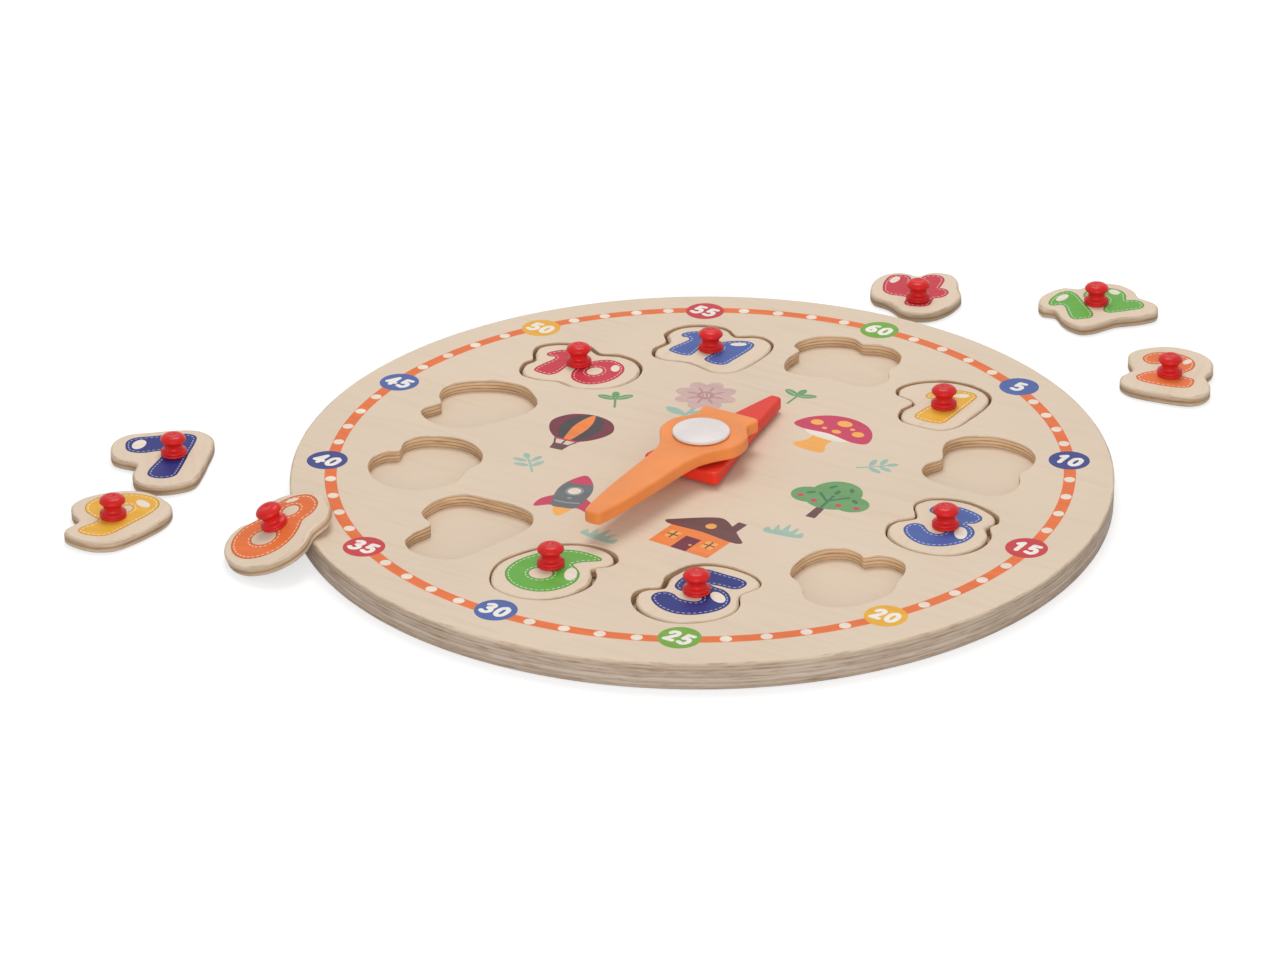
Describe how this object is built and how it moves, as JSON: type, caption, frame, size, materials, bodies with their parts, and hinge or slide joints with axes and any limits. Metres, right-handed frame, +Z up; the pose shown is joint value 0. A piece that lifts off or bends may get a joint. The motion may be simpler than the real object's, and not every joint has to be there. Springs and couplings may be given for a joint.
{
  "type": "wooden clock puzzle",
  "caption": "Round plywood teaching clock with numbered lift-out tiles, red knobs and two turning plastic hands on a capped centre pin.",
  "frame": {"origin": "centre of the board's flat underside", "axes": "+Z up out of the board's face, +Y towards twelve o'clock, +X towards three o'clock"},
  "size_m": [0.3548, 0.3898, 0.0253],
  "materials": {
    "plywood": "sanded plywood edge, unvarnished",
    "dial_wood": "sanded pale plywood with a matt print",
    "tile_wood": "sanded pale plywood with a matt printed number",
    "knob_plastic": "moulded, glossy",
    "hour_plastic": "moulded, satin gloss",
    "minute_plastic": "moulded, satin gloss",
    "cap_plastic": "moulded, glossy",
    "washer_plastic": "moulded, natural"
  },
  "bodies": {
    "board": {"base_board": "plywood", "top_board": "dial_wood", "centre_pin": "cap_plastic", "pin_socket": "washer_plastic", "lower_washer": "washer_plastic", "upper_washer": "washer_plastic"},
    "hour_hand_body": {"hour_hand": "hour_plastic"},
    "minute_hand_body": {"minute_hand": "minute_plastic"},
    "tile_1_body": {"tile_1": "tile_wood", "knob_1": "knob_plastic"},
    "tile_2_body": {"tile_2": "tile_wood", "knob_2": "knob_plastic"},
    "tile_3_body": {"tile_3": "tile_wood", "knob_3": "knob_plastic"},
    "tile_4_body": {"tile_4": "tile_wood", "knob_4": "knob_plastic"},
    "tile_5_body": {"tile_5": "tile_wood", "knob_5": "knob_plastic"},
    "tile_6_body": {"tile_6": "tile_wood", "knob_6": "knob_plastic"},
    "tile_7_body": {"tile_7": "tile_wood", "knob_7": "knob_plastic"},
    "tile_8_body": {"tile_8": "tile_wood", "knob_8": "knob_plastic"},
    "tile_9_body": {"tile_9": "tile_wood", "knob_9": "knob_plastic"},
    "tile_10_body": {"tile_10": "tile_wood", "knob_10": "knob_plastic"},
    "tile_11_body": {"tile_11": "tile_wood", "knob_11": "knob_plastic"},
    "tile_12_body": {"tile_12": "tile_wood", "knob_12": "knob_plastic"}
  },
  "joints": [
    {"name": "hour_hand_turn", "type": "hinge", "parent": "board", "child": "hour_hand_body", "pos_m": [0, 0, 0.0137], "axis": [0, 0, 1], "continuous": true},
    {"name": "minute_hand_turn", "type": "hinge", "parent": "board", "child": "minute_hand_body", "pos_m": [0, 0, 0.0199], "axis": [0, 0, 1], "continuous": true},
    {"name": "tile_1_lift", "type": "slide", "parent": "board", "child": "tile_1_body", "axis": [0, 0, 1], "range_m": [0, 0.03]},
    {"name": "tile_2_lift", "type": "slide", "parent": "board", "child": "tile_2_body", "axis": [0, 0, 1], "range_m": [0, 0.03]},
    {"name": "tile_3_lift", "type": "slide", "parent": "board", "child": "tile_3_body", "axis": [0, 0, 1], "range_m": [0, 0.03]},
    {"name": "tile_4_lift", "type": "slide", "parent": "board", "child": "tile_4_body", "axis": [0, 0, 1], "range_m": [0, 0.03]},
    {"name": "tile_5_lift", "type": "slide", "parent": "board", "child": "tile_5_body", "axis": [0, 0, 1], "range_m": [0, 0.03]},
    {"name": "tile_6_lift", "type": "slide", "parent": "board", "child": "tile_6_body", "axis": [0, 0, 1], "range_m": [0, 0.03]},
    {"name": "tile_7_lift", "type": "slide", "parent": "board", "child": "tile_7_body", "axis": [0, 0, 1], "range_m": [0, 0.03]},
    {"name": "tile_8_lift", "type": "slide", "parent": "board", "child": "tile_8_body", "axis": [0, 0, 1], "range_m": [0, 0.03]},
    {"name": "tile_9_lift", "type": "slide", "parent": "board", "child": "tile_9_body", "axis": [0, 0, 1], "range_m": [0, 0.03]},
    {"name": "tile_10_lift", "type": "slide", "parent": "board", "child": "tile_10_body", "axis": [0, 0, 1], "range_m": [0, 0.03]},
    {"name": "tile_11_lift", "type": "slide", "parent": "board", "child": "tile_11_body", "axis": [0, 0, 1], "range_m": [0, 0.03]},
    {"name": "tile_12_lift", "type": "slide", "parent": "board", "child": "tile_12_body", "axis": [0, 0, 1], "range_m": [0, 0.03]}
  ]
}
